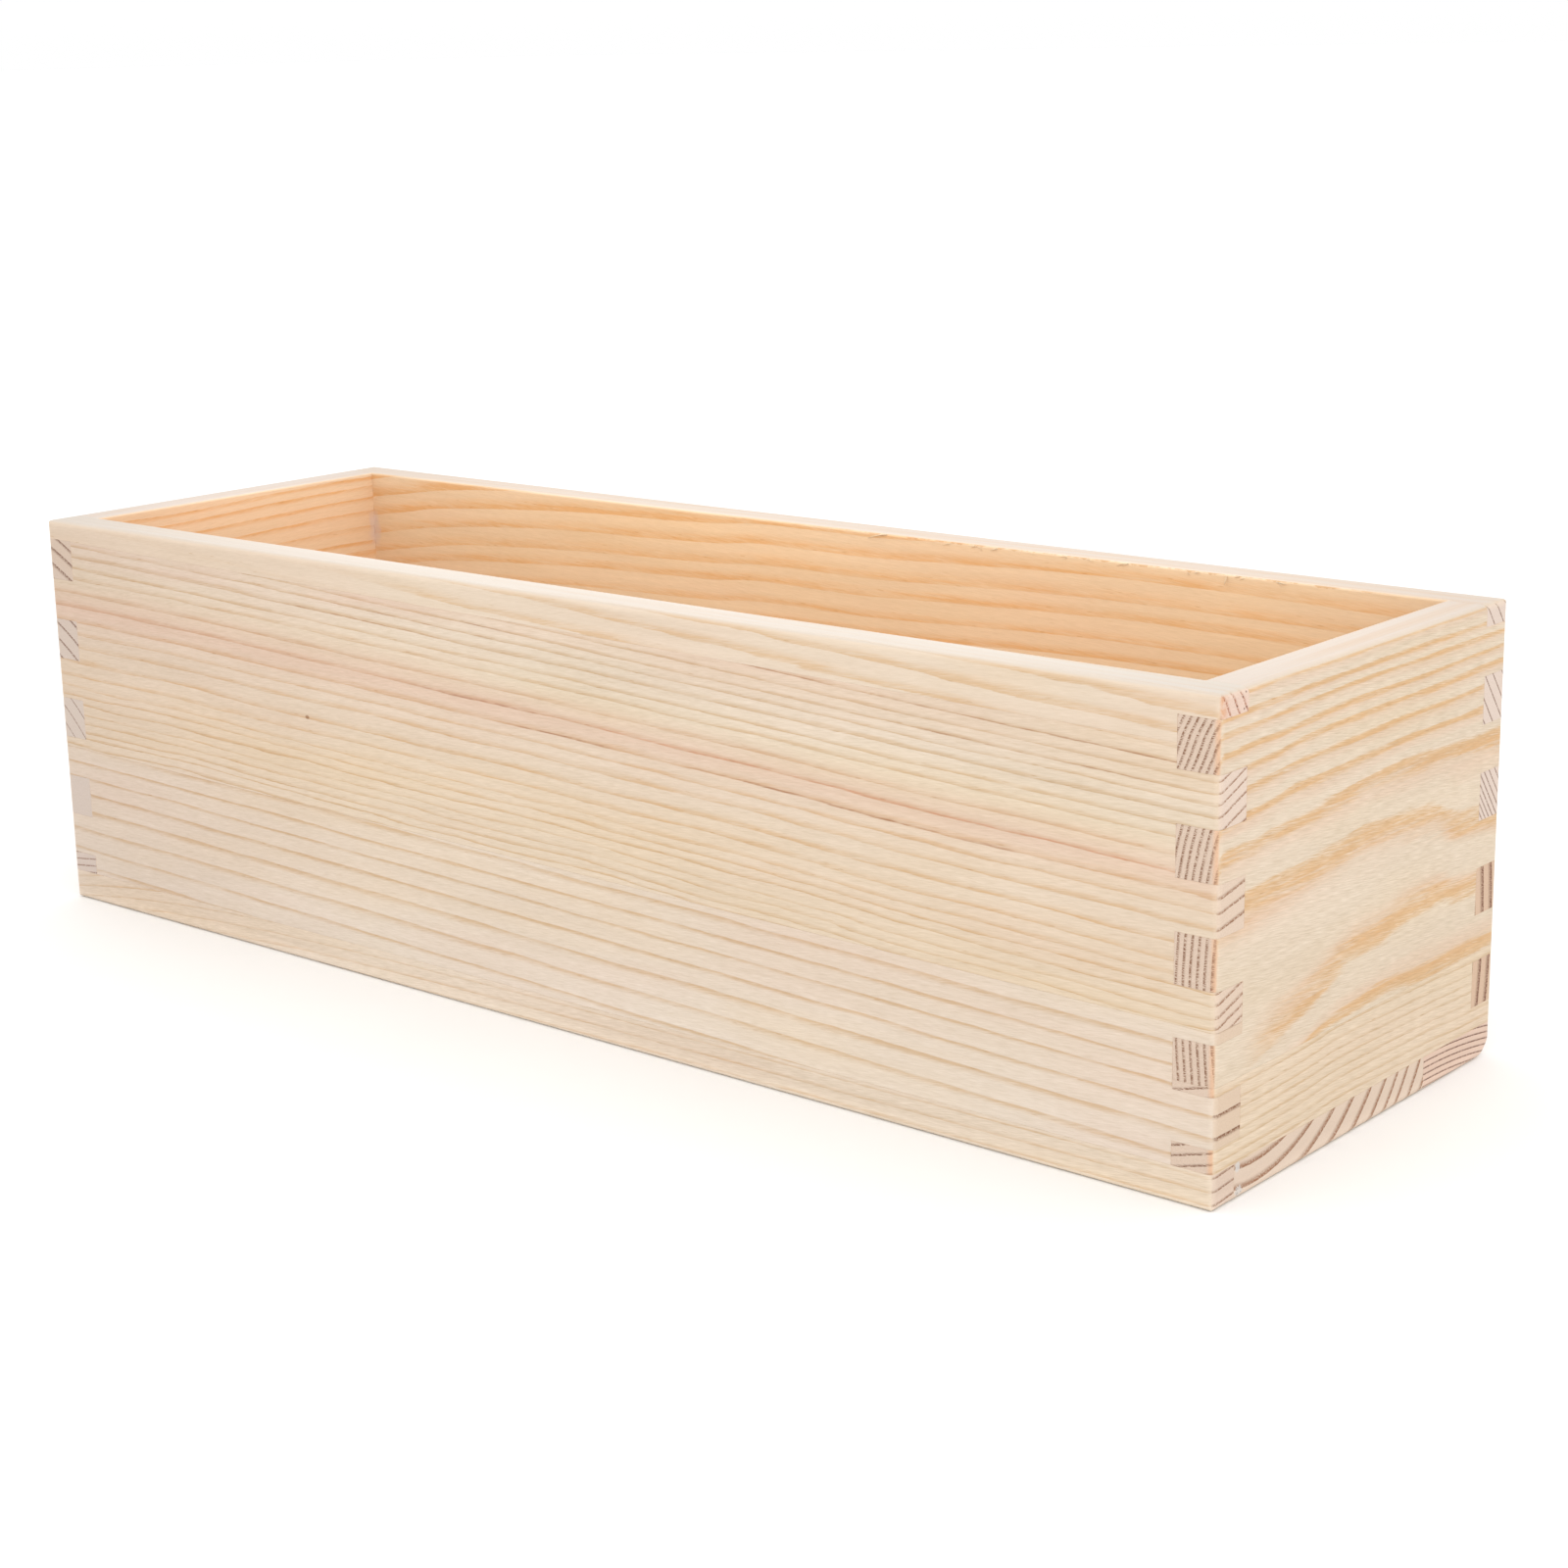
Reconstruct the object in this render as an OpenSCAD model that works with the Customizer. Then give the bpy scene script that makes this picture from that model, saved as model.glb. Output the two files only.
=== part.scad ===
// Open-top pine drawer box.
// Four edge-glued wall boards meet in finger joints at the corners.
// A flush bottom panel of three staves is glued under the walls.
// Origin: middle of the underside. X runs along the box, Y to the back, Z up.

/* [Overall size] */
// Outside length along X
box_length = 300; // [240:1:360]
// Outside width along Y
box_width = 96; // [90:1:120]
// Outside height along Z
box_height = 86; // [84:1:100]

/* [Boards] */
// Thickness of the four wall boards
wall_t = 8; // [6:0.5:10]
// Thickness of the bottom panel
bottom_t = 6.5; // [5:0.5:8]

/* [Finger joints] */
// Height of one full finger
finger_w = 8.9; // [7:0.1:11]
// Height of the part finger at the rim, on the long boards
top_finger = 4; // [3:0.5:6]

/* [Front board staves] */
// Drop from the rim to the upper glue line, at mid length
front_seam_upper = 6.4; // [6.4:0.2:8]
// Drop from the rim to the lower glue line, at mid length
front_seam_lower = 53; // [48:0.5:60]
// Slope of both glue lines in degrees, falling to the right
front_seam_slope = 0.9; // [0:0.1:0.9]

/* [Other staves] */
// Drop from the rim to the glue line of the back board
back_seam = 44; // [38:0.5:54]
// Drop from the rim to the glue line of the left end board
left_seam = 70; // [60:0.5:72]
// Drop from the rim to the glue line of the right end board
right_seam = 64.7; // [60:0.1:72]
// Width of the front stave of the bottom panel
bottom_front_w = 6.5; // [5:0.5:20]
// Width of the back stave of the bottom panel
bottom_back_w = 25.5; // [15:0.5:40]

/* [Eased edges] */
// Radius of the sanded outside edges
edge_r = 1.2; // [0.4:0.1:1.5]
// Radius of the sanded inside edges of the rim
rim_r = 0.5; // [0.3:0.1:1]
// Radius of the rear lower edge of the bottom panel
foot_r = 6.5; // [1.5:0.5:6.5]

/* [Hidden] */
$fn = 64;
// Half sizes
hx = box_length / 2;
hy = box_width / 2;
// Height of the walls above the bottom panel
wall_h = box_height - bottom_t;
// Overshoot of cutting shapes
over = 2;
// Shortest part finger worth cutting at the lower edge
min_finger = 1.5;
// Number of finger slots that start inside the wall height
slots = floor((wall_h - min_finger - top_finger) / (2 * finger_w)) + 1;
// Change in glue line height over half the length
seam_run = (hx + over) * tan(front_seam_slope);

// Drop at which finger k of an end board starts and ends
function finger_from(k) = top_finger + 2 * k * finger_w;
function finger_to(k) = min(finger_from(k) + finger_w, wall_h);
// Drop at which the next finger of a long board ends
function socket_to(k) =
    wall_h - finger_to(k) < min_finger ? wall_h + over : min(finger_from(k + 1), wall_h + over);

// Waste at one convex corner of a flat outline
module corner_waste(r) {
    difference() {
        translate([-over, -over]) square([over + r, over + r]);
        translate([r, r]) circle(r = r);
    }
}

// Rectangle with three small corner radii and its own radius at the lower right
module soft_rect(w, h, r, r_foot) {
    difference() {
        translate([-w / 2, 0]) square([w, h]);
        translate([-w / 2, 0]) corner_waste(r);
        translate([w / 2, 0]) mirror([1, 0]) corner_waste(r_foot);
        translate([-w / 2, h]) mirror([0, 1]) corner_waste(r);
        translate([w / 2, h]) rotate(180) corner_waste(r);
    }
}

// Outer envelope of the sanded box
module envelope() {
    intersection() {
        translate([0, -hy, 0])
            linear_extrude(height = box_height) soft_rect(box_length, box_width, edge_r, edge_r);
        translate([0, hy + over, 0]) rotate([90, 0, 0])
            linear_extrude(height = box_width + 2 * over) soft_rect(box_length, box_height, edge_r, edge_r);
        translate([-hx - over, 0, 0]) rotate([90, 0, 90])
            linear_extrude(height = box_length + 2 * over) soft_rect(box_width, box_height, edge_r, foot_r);
    }
}

// Waste along one inside edge of the rim, lying along X
module rim_waste(len) {
    translate([-len / 2, 0, box_height]) rotate([90, 0, 90])
        linear_extrude(height = len) rotate(180) corner_waste(rim_r);
}

// Waste that carries that edge round one inside corner of the rim
module rim_turn(from) {
    translate([0, 0, box_height]) rotate([0, 0, from])
        rotate_extrude(angle = 90) difference() {
            translate([0, -rim_r]) square([rim_r, rim_r + over]);
            translate([rim_r, -rim_r]) circle(r = rim_r);
        }
}

// Long wall board at the front with its corner sockets
module long_board() {
    difference() {
        translate([-hx, -hy, bottom_t]) cube([box_length, wall_t, wall_h]);
        for (side = [-1, 1]) for (k = [0 : slots - 1])
            translate([side * (hx - wall_t / 2 + over / 2), -hy + wall_t / 2, box_height - (finger_from(k) + finger_to(k)) / 2 - (finger_to(k) == wall_h ? over / 2 : 0)])
                cube([wall_t + over, wall_t + 2 * over, finger_to(k) - finger_from(k) + (finger_to(k) == wall_h ? over : 0)], center = true);
        translate([0, -hy + wall_t, 0]) union() {
            rim_waste(box_length - 2 * wall_t);
            translate([hx - wall_t, 0, 0]) rim_turn(-90);
            translate([wall_t - hx, 0, 0]) rim_turn(180);
        }
    }
}

// End wall board at the right with its corner fingers
module end_board() {
    difference() {
        translate([hx - wall_t, -hy, bottom_t]) cube([wall_t, box_width, wall_h]);
        for (side = [-1, 1]) {
            translate([hx - wall_t / 2, side * (hy - wall_t / 2 + over / 2), box_height - top_finger / 2 + over / 2])
                cube([wall_t + 2 * over, wall_t + over, top_finger + over], center = true);
            for (k = [0 : slots - 1])
                if (socket_to(k) > finger_to(k))
                    translate([hx - wall_t / 2, side * (hy - wall_t / 2 + over / 2), box_height - (finger_to(k) + socket_to(k)) / 2])
                        cube([wall_t + 2 * over, wall_t + over, socket_to(k) - finger_to(k)], center = true);
        }
        translate([hx - wall_t, 0, 0]) rotate([0, 0, 90]) rim_waste(box_width - 2 * wall_t);
    }
}

// Band of a wall between two glue lines, both falling by run over half the length
module band(from, to, run) {
    translate([0, hy + over, 0]) rotate([90, 0, 0])
        linear_extrude(height = box_width + 2 * over)
            polygon([
                [-hx - over, box_height - to + run], [hx + over, box_height - to - run],
                [hx + over, box_height - from - run], [-hx - over, box_height - from + run]
            ]);
}

// Strip of the bottom panel between two distances from the front
module bottom_strip(from, to) {
    intersection() {
        translate([-hx, -hy + from, 0]) cube([box_length, to - from, bottom_t]);
        envelope();
    }
}

module front_part(from, to) {
    intersection() {
        long_board();
        band(from, to, seam_run);
        envelope();
    }
}

module back_part(from, to) {
    intersection() {
        mirror([0, 1, 0]) long_board();
        band(from, to, 0);
        envelope();
    }
}

module left_part(from, to) {
    intersection() {
        mirror([1, 0, 0]) end_board();
        band(from, to, 0);
        envelope();
    }
}

module right_part(from, to) {
    intersection() {
        end_board();
        band(from, to, 0);
        envelope();
    }
}

// Thin upper stave of the front board
module front_top_stave() {
    color([0.93, 0.85, 0.73]) front_part(-20, front_seam_upper);
}

// Wide middle stave of the front board
module front_middle_stave() {
    color([0.92, 0.83, 0.71]) front_part(front_seam_upper, front_seam_lower);
}

// Lower stave of the front board
module front_lower_stave() {
    color([0.91, 0.84, 0.75]) front_part(front_seam_lower, wall_h + 20);
}

// Upper stave of the back board
module back_upper_stave() {
    color([0.92, 0.80, 0.65]) back_part(-20, back_seam);
}

// Lower stave of the back board
module back_lower_stave() {
    color([0.91, 0.81, 0.67]) back_part(back_seam, wall_h + 20);
}

// Upper stave of the left end board
module left_end_upper_stave() {
    color([0.92, 0.81, 0.66]) left_part(-20, left_seam);
}

// Lower stave of the left end board
module left_end_lower_stave() {
    color([0.91, 0.82, 0.69]) left_part(left_seam, wall_h + 20);
}

// Upper stave of the right end board
module right_end_upper_stave() {
    color([0.92, 0.84, 0.71]) right_part(-20, right_seam);
}

// Lower stave of the right end board
module right_end_lower_stave() {
    color([0.92, 0.83, 0.69]) right_part(right_seam, wall_h + 20);
}

// Narrow front stave of the bottom panel
module bottom_front_stave() {
    color([0.91, 0.83, 0.73]) bottom_strip(0, bottom_front_w);
}

// Wide middle stave of the bottom panel
module bottom_middle_stave() {
    color([0.92, 0.83, 0.71]) bottom_strip(bottom_front_w, box_width - bottom_back_w);
}

// Back stave of the bottom panel
module bottom_back_stave() {
    color([0.90, 0.80, 0.70]) bottom_strip(box_width - bottom_back_w, box_width);
}

front_top_stave();
front_middle_stave();
front_lower_stave();
back_upper_stave();
back_lower_stave();
left_end_upper_stave();
left_end_lower_stave();
right_end_upper_stave();
right_end_lower_stave();
bottom_front_stave();
bottom_middle_stave();
bottom_back_stave();
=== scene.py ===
import math
import random

import bmesh
import bpy
from mathutils import Matrix, Vector


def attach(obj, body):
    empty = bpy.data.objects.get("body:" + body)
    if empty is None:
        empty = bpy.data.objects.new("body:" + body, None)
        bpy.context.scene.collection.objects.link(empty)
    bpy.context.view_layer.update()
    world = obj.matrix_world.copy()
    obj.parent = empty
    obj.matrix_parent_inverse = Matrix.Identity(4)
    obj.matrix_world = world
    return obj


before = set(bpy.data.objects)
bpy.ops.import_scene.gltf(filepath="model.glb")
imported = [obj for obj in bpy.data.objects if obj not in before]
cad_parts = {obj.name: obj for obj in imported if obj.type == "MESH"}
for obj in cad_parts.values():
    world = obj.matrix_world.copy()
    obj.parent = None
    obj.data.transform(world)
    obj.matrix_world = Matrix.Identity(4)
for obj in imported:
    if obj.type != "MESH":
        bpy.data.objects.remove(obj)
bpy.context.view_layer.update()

# ---------------------------------------------------------------------------
# The box in millimetres: X along its length, Y from front (-48) to back (48),
# Z up from the surface that it stands on.
# ---------------------------------------------------------------------------
LENGTH, WIDTH, HEIGHT = 300.0, 96.0, 86.0
WALL = 8.0
HX, HY = LENGTH / 2, WIDTH / 2
FLOOR_TOP = 6.5

# How bright the studio makes an upright face, so that colours below can be
# written as they look.
LIGHT = 1.27


def srgb(r, g, b, gain=1.0 / LIGHT):
    def lin(c):
        c /= 255.0
        return c / 12.92 if c <= 0.04045 else ((c + 0.055) / 1.055) ** 2.4
    return tuple(min(1.0, lin(c) * gain) for c in (r, g, b))


# ---------------------------------------------------------------------------
# A small way to write node graphs as arithmetic
# ---------------------------------------------------------------------------
class V:
    """One value in a node graph."""

    def __init__(self, net, out):
        self.net, self.out = net, out

    def __add__(self, o): return self.net.math("ADD", self, o)
    __radd__ = __add__
    def __sub__(self, o): return self.net.math("SUBTRACT", self, o)
    def __rsub__(self, o): return self.net.math("SUBTRACT", o, self)
    def __mul__(self, o): return self.net.math("MULTIPLY", self, o)
    __rmul__ = __mul__
    def __truediv__(self, o): return self.net.math("DIVIDE", self, o)
    def __rtruediv__(self, o): return self.net.math("DIVIDE", o, self)
    def __neg__(self): return self.net.math("MULTIPLY", self, -1.0)
    def __abs__(self): return self.net.math("ABSOLUTE", self)
    def __pow__(self, e): return self.net.math("POWER", self, e)
    def floor(self): return self.net.math("FLOOR", self)
    def fract(self): return self.net.math("FRACT", self)
    def sin(self): return self.net.math("SINE", self)
    def cos(self): return self.net.math("COSINE", self)
    def exp(self): return self.net.math("EXPONENT", self)
    def sqrt(self): return self.net.math("SQRT", self)
    def min(self, o): return self.net.math("MINIMUM", self, o)
    def max(self, o): return self.net.math("MAXIMUM", self, o)
    def clamp(self): return self.net.math("ADD", self, 0.0, clamp=True)

    def smooth(self, lo, hi):
        """0 below lo, 1 above hi, smooth between."""
        nd = self.net.node("ShaderNodeMapRange", interpolation_type="SMOOTHSTEP")
        self.net.plug(nd.inputs["Value"], self)
        self.net.plug(nd.inputs["From Min"], lo)
        self.net.plug(nd.inputs["From Max"], hi)
        return V(self.net, nd.outputs["Result"])

    def bump(self, centre, half):
        """1 at centre, 0 at half away from it, smooth between."""
        return 1.0 - abs(self - centre).smooth(0.0, half)


class Net:
    """The node graph of one material or world."""

    def __init__(self, owner):
        self.owner = owner
        owner.use_nodes = True
        self.tree = owner.node_tree
        self.tree.nodes.clear()

    def node(self, kind, **props):
        nd = self.tree.nodes.new(kind)
        for key, value in props.items():
            setattr(nd, key, value)
        return nd

    def plug(self, socket, value):
        if isinstance(value, V):
            self.tree.links.new(value.out, socket)
        elif isinstance(value, (tuple, list)) and len(value) == 3 and len(socket.default_value) == 4:
            socket.default_value = (*value, 1.0)
        else:
            socket.default_value = value

    def math(self, op, *args, clamp=False):
        nd = self.node("ShaderNodeMath", operation=op, use_clamp=clamp)
        for socket, value in zip(nd.inputs, args):
            self.plug(socket, value)
        return V(self, nd.outputs[0])

    def xyz(self, x, y, z):
        nd = self.node("ShaderNodeCombineXYZ")
        for socket, value in zip(nd.inputs, (x, y, z)):
            self.plug(socket, value)
        return V(self, nd.outputs[0])

    def split(self, vec):
        nd = self.node("ShaderNodeSeparateXYZ")
        self.plug(nd.inputs[0], vec)
        return [V(self, s) for s in nd.outputs]

    def noise(self, x, y, z, detail=2.0, rough=0.5):
        """Soft noise, 0 to 1 about 0.5, at unit scale."""
        nd = self.node("ShaderNodeTexNoise", noise_dimensions="3D")
        self.plug(nd.inputs["Vector"], self.xyz(x, y, z))
        nd.inputs["Scale"].default_value = 1.0
        nd.inputs["Detail"].default_value = detail
        nd.inputs["Roughness"].default_value = rough
        return V(self, nd.outputs[0])

    def fuzz(self, x, y, z, detail=2.0, rough=0.55):
        """The same noise about 0, mostly between -0.6 and 0.6."""
        return (self.noise(x, y, z, detail, rough) - 0.5) * 2.6

    def rand(self, w):
        """One random number for each whole value of w."""
        nd = self.node("ShaderNodeTexWhiteNoise", noise_dimensions="1D")
        self.plug(nd.inputs["W"], w)
        return V(self, nd.outputs["Value"])

    def cells(self, x, y, z, randomness=1.0):
        """Distance to the nearest of one random point in each unit cell."""
        nd = self.node("ShaderNodeTexVoronoi", voronoi_dimensions="3D", feature="F1")
        self.plug(nd.inputs["Vector"], self.xyz(x, y, z))
        nd.inputs["Scale"].default_value = 1.0
        nd.inputs["Randomness"].default_value = randomness
        return V(self, nd.outputs["Distance"])

    def curve(self, value, points):
        """A smooth curve through points, in the points' own units."""
        xs = [p[0] for p in points]
        ys = [p[1] for p in points]
        x0, x1, y0, y1 = min(xs), max(xs), min(ys), max(ys)
        nd = self.node("ShaderNodeFloatCurve")
        c = nd.mapping.curves[0]
        norm = sorted(((x - x0) / (x1 - x0), (y - y0) / (y1 - y0)) for x, y in points)
        while len(c.points) < len(norm):
            c.points.new(0.5, 0.5)
        for point, (px, py) in zip(c.points, norm):
            point.location = (px, py)
            point.handle_type = "AUTO_CLAMPED"
        nd.mapping.update()
        self.plug(nd.inputs["Value"], (value - x0) / (x1 - x0))
        return V(self, nd.outputs[0]) * (y1 - y0) + y0

    def ramp(self, value, stops):
        """Colours along a value, in the stops' own units."""
        x0, x1 = stops[0][0], stops[-1][0]
        nd = self.node("ShaderNodeValToRGB")
        bar = nd.color_ramp
        while len(bar.elements) < len(stops):
            bar.elements.new(0.5)
        for element, (at, colour) in zip(bar.elements, stops):
            element.position = (at - x0) / (x1 - x0)
            element.color = (*colour, 1.0)
        self.plug(nd.inputs["Fac"], (value - x0) / (x1 - x0))
        return V(self, nd.outputs["Color"])

    def warp(self, value, tracks):
        """Straighten: each track is (place, where it really lies), in order,
        and value is moved as the tracks on its two sides are."""
        total = tracks[0][0]
        for (place0, real0), (place1, real1) in zip(tracks, tracks[1:]):
            nd = self.node("ShaderNodeMapRange", interpolation_type="LINEAR", clamp=True)
            self.plug(nd.inputs["Value"], value)
            self.plug(nd.inputs["From Min"], real0)
            self.plug(nd.inputs["From Max"], real1)
            nd.inputs["To Max"].default_value = place1 - place0
            total = V(self, nd.outputs["Result"]) + total
        return total

    def mix(self, fac, a, b, blend="MIX"):
        nd = self.node("ShaderNodeMix", data_type="RGBA", blend_type=blend)
        nd.clamp_factor = True
        self.plug(nd.inputs[0], fac)
        self.plug(nd.inputs[6], a)
        self.plug(nd.inputs[7], b)
        return V(self, nd.outputs[2])

    def tint(self, fac, colour, ratio):
        """Multiply a colour by ratio where fac is 1."""
        return self.mix(fac, colour, ratio, blend="MULTIPLY")

    def gain(self, colour, factor):
        """Multiply a colour by a number."""
        nd = self.node("ShaderNodeVectorMath", operation="SCALE")
        self.plug(nd.inputs[0], colour)
        self.plug(nd.inputs["Scale"], factor)
        return V(self, nd.outputs[0])

    def grade(self, colour, t):
        """Lighten by t, or darken where t is below 0, a little warmer the darker."""
        nd = self.node("ShaderNodeVectorMath", operation="MULTIPLY")
        self.plug(nd.inputs[0], colour)
        self.plug(nd.inputs[1], self.xyz(1.0 + 0.85 * t, 1.0 + t, 1.0 + 1.3 * t))
        return V(self, nd.outputs[0])


def rings(lines, before, after, lo, hi, falling=False):
    """Curve points that put ring boundaries at the given lines, continued at
    a steady spacing out to lo and hi.  A line lies at 0.93 of its ring."""
    lines = sorted(lines)
    while lines[0] > lo:
        lines.insert(0, lines[0] - before)
    while lines[-1] < hi:
        lines.append(lines[-1] + after)
    count = len(lines)
    if falling:
        return [(d, count - i + 0.93) for i, d in enumerate(lines)]
    return [(d, i + 0.93) for i, d in enumerate(lines)]


# ---------------------------------------------------------------------------
# Growth rings: each stave has its own field, from where the pith of its tree
# would have been.  xl is the distance from the left end and yf from the front,
# in millimetres, and drop is the distance from the rim in 87ths of the height.
# ---------------------------------------------------------------------------
def rings_front_top(net, xl, yf, drop, rag):
    n = (drop - 0.068 * (xl - 122.0)) / 4.1 - yf / 2.5 + rag * 0.5 + 40.0
    return n, drop, 0.6, 0.12 + 0.88 * xl.smooth(85.0, 150.0)


def rings_front_middle(net, xl, yf, drop, rag):
    u = (xl - 150.0) / 140.0
    g = drop / 50.0
    w55 = xl * (2 * math.pi / 55)
    w155 = xl * (2 * math.pi / 155)
    lean = u * (7.479 + 0.826 * u - 0.549 * u * u - 3.826 * g + 0.504 * g * u + 1.588 * g * g)
    wave = g * (0.116 * w55.sin() - 0.073 * w55.cos() - 0.214 * w155.sin() - 0.191 * w155.cos())
    dip = net.curve(drop, [(0, 0.42), (18, 0.40), (27, 0.26), (36, 0.19), (45, 0.25), (54, 0.32), (87, 0.2)])
    d = drop - lean - wave + dip * yf + rag * 0.32
    lines = [-0.6, 2.2, 4.8, 6.9, 9.0, 10.9, 13.1, 15.5, 17.6, 20.7, 23.6, 26.9, 29.4, 32.2,
             35.6, 38.6, 41.2, 43.1, 45.1, 47.3, 49.1, 51.1, 52.6, 54.3, 56.2]
    return net.curve(d, rings(lines, 2.7, 1.9, -8, 72)), d


def rings_front_lower(net, xl, yf, drop, rag):
    s = xl - 150.0
    d = drop - 0.0285 * s - 0.00002 * s * s + rag * 0.4
    lines = [50.9, 54.6, 58.3, 61.7, 65.5, 69.4, 73.9, 78.6, 82.9]
    return net.curve(d, rings(lines, 3.6, 4.4, 42, 96, falling=True)), d


def rings_back_upper(net, xl, yf, drop, rag):
    shift = net.curve(xl, [(0, 12.6), (15, 10.1), (35, 7.2), (55, 5.6), (75, 4.4), (115, 3.2),
                           (135, 2.0), (155, 2.0), (185, 1.1), (205, 0.3), (225, -0.1), (265, 0.4),
                           (300, 1.2)])
    d = drop - shift - 1.3 * (yf - 88.0) + rag * 0.5
    lines = [3.3, 7.8, 11.5, 16.0, 19.8, 23.0, 25.8, 28.2, 30.3, 32.2, 34.0, 35.7, 37.4, 39.1]
    return net.curve(d, rings(lines, 4.4, 1.7, -28, 66)), d


def rings_back_lower(net, xl, yf, drop, rag):
    v = drop - 62.5 - 3.0 * ((xl * 0.021 + 0.6).sin() - 0.58)
    far = 1.0 - xl.smooth(205.0, 294.0)
    r = ((yf + 14.0) * (yf + 14.0) + v * v).sqrt()
    # long nested arches, from a trunk that tapers and rolls a little
    roll = net.fuzz(xl / 80.0, yf / 40.0, v / 22.0, detail=1.0) * 1.6 + 0.016 * v * v
    return (r + rag * 0.35 + far * roll + 0.028 * (300.0 - xl) - 105.29) / 3.2 + 20.93, r


def rings_left_upper(net, xl, yf, drop, rag):
    v = drop - 85.0
    h = xl + 35.0
    r = (h * h + v * v).sqrt() + rag * 0.4 + 0.5 * (yf * 0.06).sin()
    lines = [65.4, 68.6, 71.8, 75.0, 78.4, 80.5, 83.6, 86.8, 89.6, 92.05, 94.0]
    return net.curve(r, rings(lines, 3.1, 2.2, 30, 100)), r


def rings_left_lower(net, xl, yf, drop, rag):
    d = drop + 0.12 * xl + 0.4 * (yf * 0.07 + 1.0).sin() + rag * 0.3
    return d / 1.6, d


def rings_right_upper(net, xl, yf, drop, rag):
    c = net.curve(yf, [(0, 10.4), (10, 10.1), (18, 9.8), (26, 9.3), (34, 9.0), (50, 8.7), (66, 8.8), (96, 8.6)])
    f = net.curve(yf, [(0, 22.0), (10, 21.4), (18, 20.5), (23, 19.8), (50, 19.4), (58, 19.0), (74, 19.2), (96, 18.6)])
    g = net.curve(yf, [(0, 27.5), (10, 26.9), (18, 26.0), (26, 26.0), (34, 25.2), (42, 24.7), (48, 23.9), (66, 23.7),
                       (86, 24.5), (96, 24.8)])
    h = net.curve(yf, [(0, 35.0), (10, 34.6), (26, 34.1), (40, 33.5), (46, 32.4), (52, 32.7), (62, 33.8), (70, 34.6),
                       (76, 37.0), (82, 39.4), (96, 41.0)])
    i = net.curve(yf, [(0, 67.0), (10, 64.0), (18, 61.3), (24, 59.8), (30, 58.0), (36, 55.6), (42, 53.4), (54, 52.2),
                       (60, 50.7), (74, 50.2), (80, 51.3), (96, 52.3)])
    j = net.curve(yf, [(0, 74.0), (10, 72.0), (20, 69.0), (28, 66.5), (36, 64.1), (44, 63.6), (54, 62.9), (64, 63.4),
                       (96, 64.0)])
    v = net.warp(drop, [(0.0, 0.0), (8.7, c), (19.4, f), (23.9, g), (32.6, h), (43.0, 0.5 * (h + i)), (53.0, i),
                        (63.5, j), (75.0, 82.0)])
    n = net.curve(v, [(0.0, 8.95), (0.4, 8.78), (3.4, 7.78), (5.65, 6.78), (8.65, 5.78), (11.6, 4.78), (15.2, 3.78),
                      (19.3, 2.78), (23.9, 1.78), (30.6, 1.02), (32.8, 0.78), (43.0, 0.12), (53.0, 0.78), (55.4, 1.0),
                      (60.5, 1.36), (63.3, 1.79), (65.0, 2.05), (75.0, 3.4)])
    t = 300.0 - xl
    broad = net.curve(v, [(0.0, 0.52), (20.0, 0.52), (25.0, 0.52), (31.0, 0.62), (43.0, 0.70), (57.0, 0.66),
                          (61.0, 0.52), (75.0, 0.52)]) + 0.15 * yf.smooth(52.0, 84.0) * v.bump(37.0, 9.0)
    faint = net.curve(v, [(0.0, 1.0), (25.0, 1.0), (31.0, 0.88), (57.0, 0.92), (61.0, 1.0), (75.0, 1.0)])
    faint = faint * (1.0 - (1.0 - yf.smooth(6.0, 24.0)) * v.smooth(43.0, 46.0))
    return n + 0.7075 * t + t * t / 212.0 + rag * 0.16, v, broad, faint


def rings_right_lower(net, xl, yf, drop, rag):
    wave = net.curve(yf, [(0, 1.2), (9, 1.1), (25, 0.8), (33, 0.4), (41, 0.0), (57, 0.2), (73, 0.6),
                          (81, 1.0), (96, 1.5)])
    d = drop - wave + 0.27 * (xl - 300.0) + rag * 0.3
    lines = [65.8, 68.0, 69.9, 71.6, 73.6, 75.4, 77.4, 79.0]
    return net.curve(d, rings(lines, 1.9, 1.9, 58, 92)), d


def rings_bottom_front(net, xl, yf, drop, rag):
    d = drop - 2.7 * (-(xl - 50.0) / 45.0).exp().min(4.0) + 0.08 * yf + rag * 0.3
    lines = [81.1, 83.5, 85.9]
    return net.curve(d, rings(lines, 2.4, 2.4, 64, 92)), d


def rings_bottom_middle(net, xl, yf, drop, rag):
    h = yf - 12.6
    v = drop - 47.0
    r = (h * h + v * v).sqrt() + 0.8 * (xl * 0.019).sin() + rag * 0.4
    lines = [34.4, 38.0, 42.1, 46.4, 50.9, 55.0, 58.5, 61.6, 65.3]
    return net.curve(r, rings(lines, 3.6, 3.5, 20, 80)), r


def rings_bottom_back(net, xl, yf, drop, rag):
    d = drop - 0.0035 * (yf - 70.0) * (yf - 70.0) + 0.4 * ((xl - 300.0) * 0.03).sin() + rag * 0.2
    return d / 1.2, d


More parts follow.
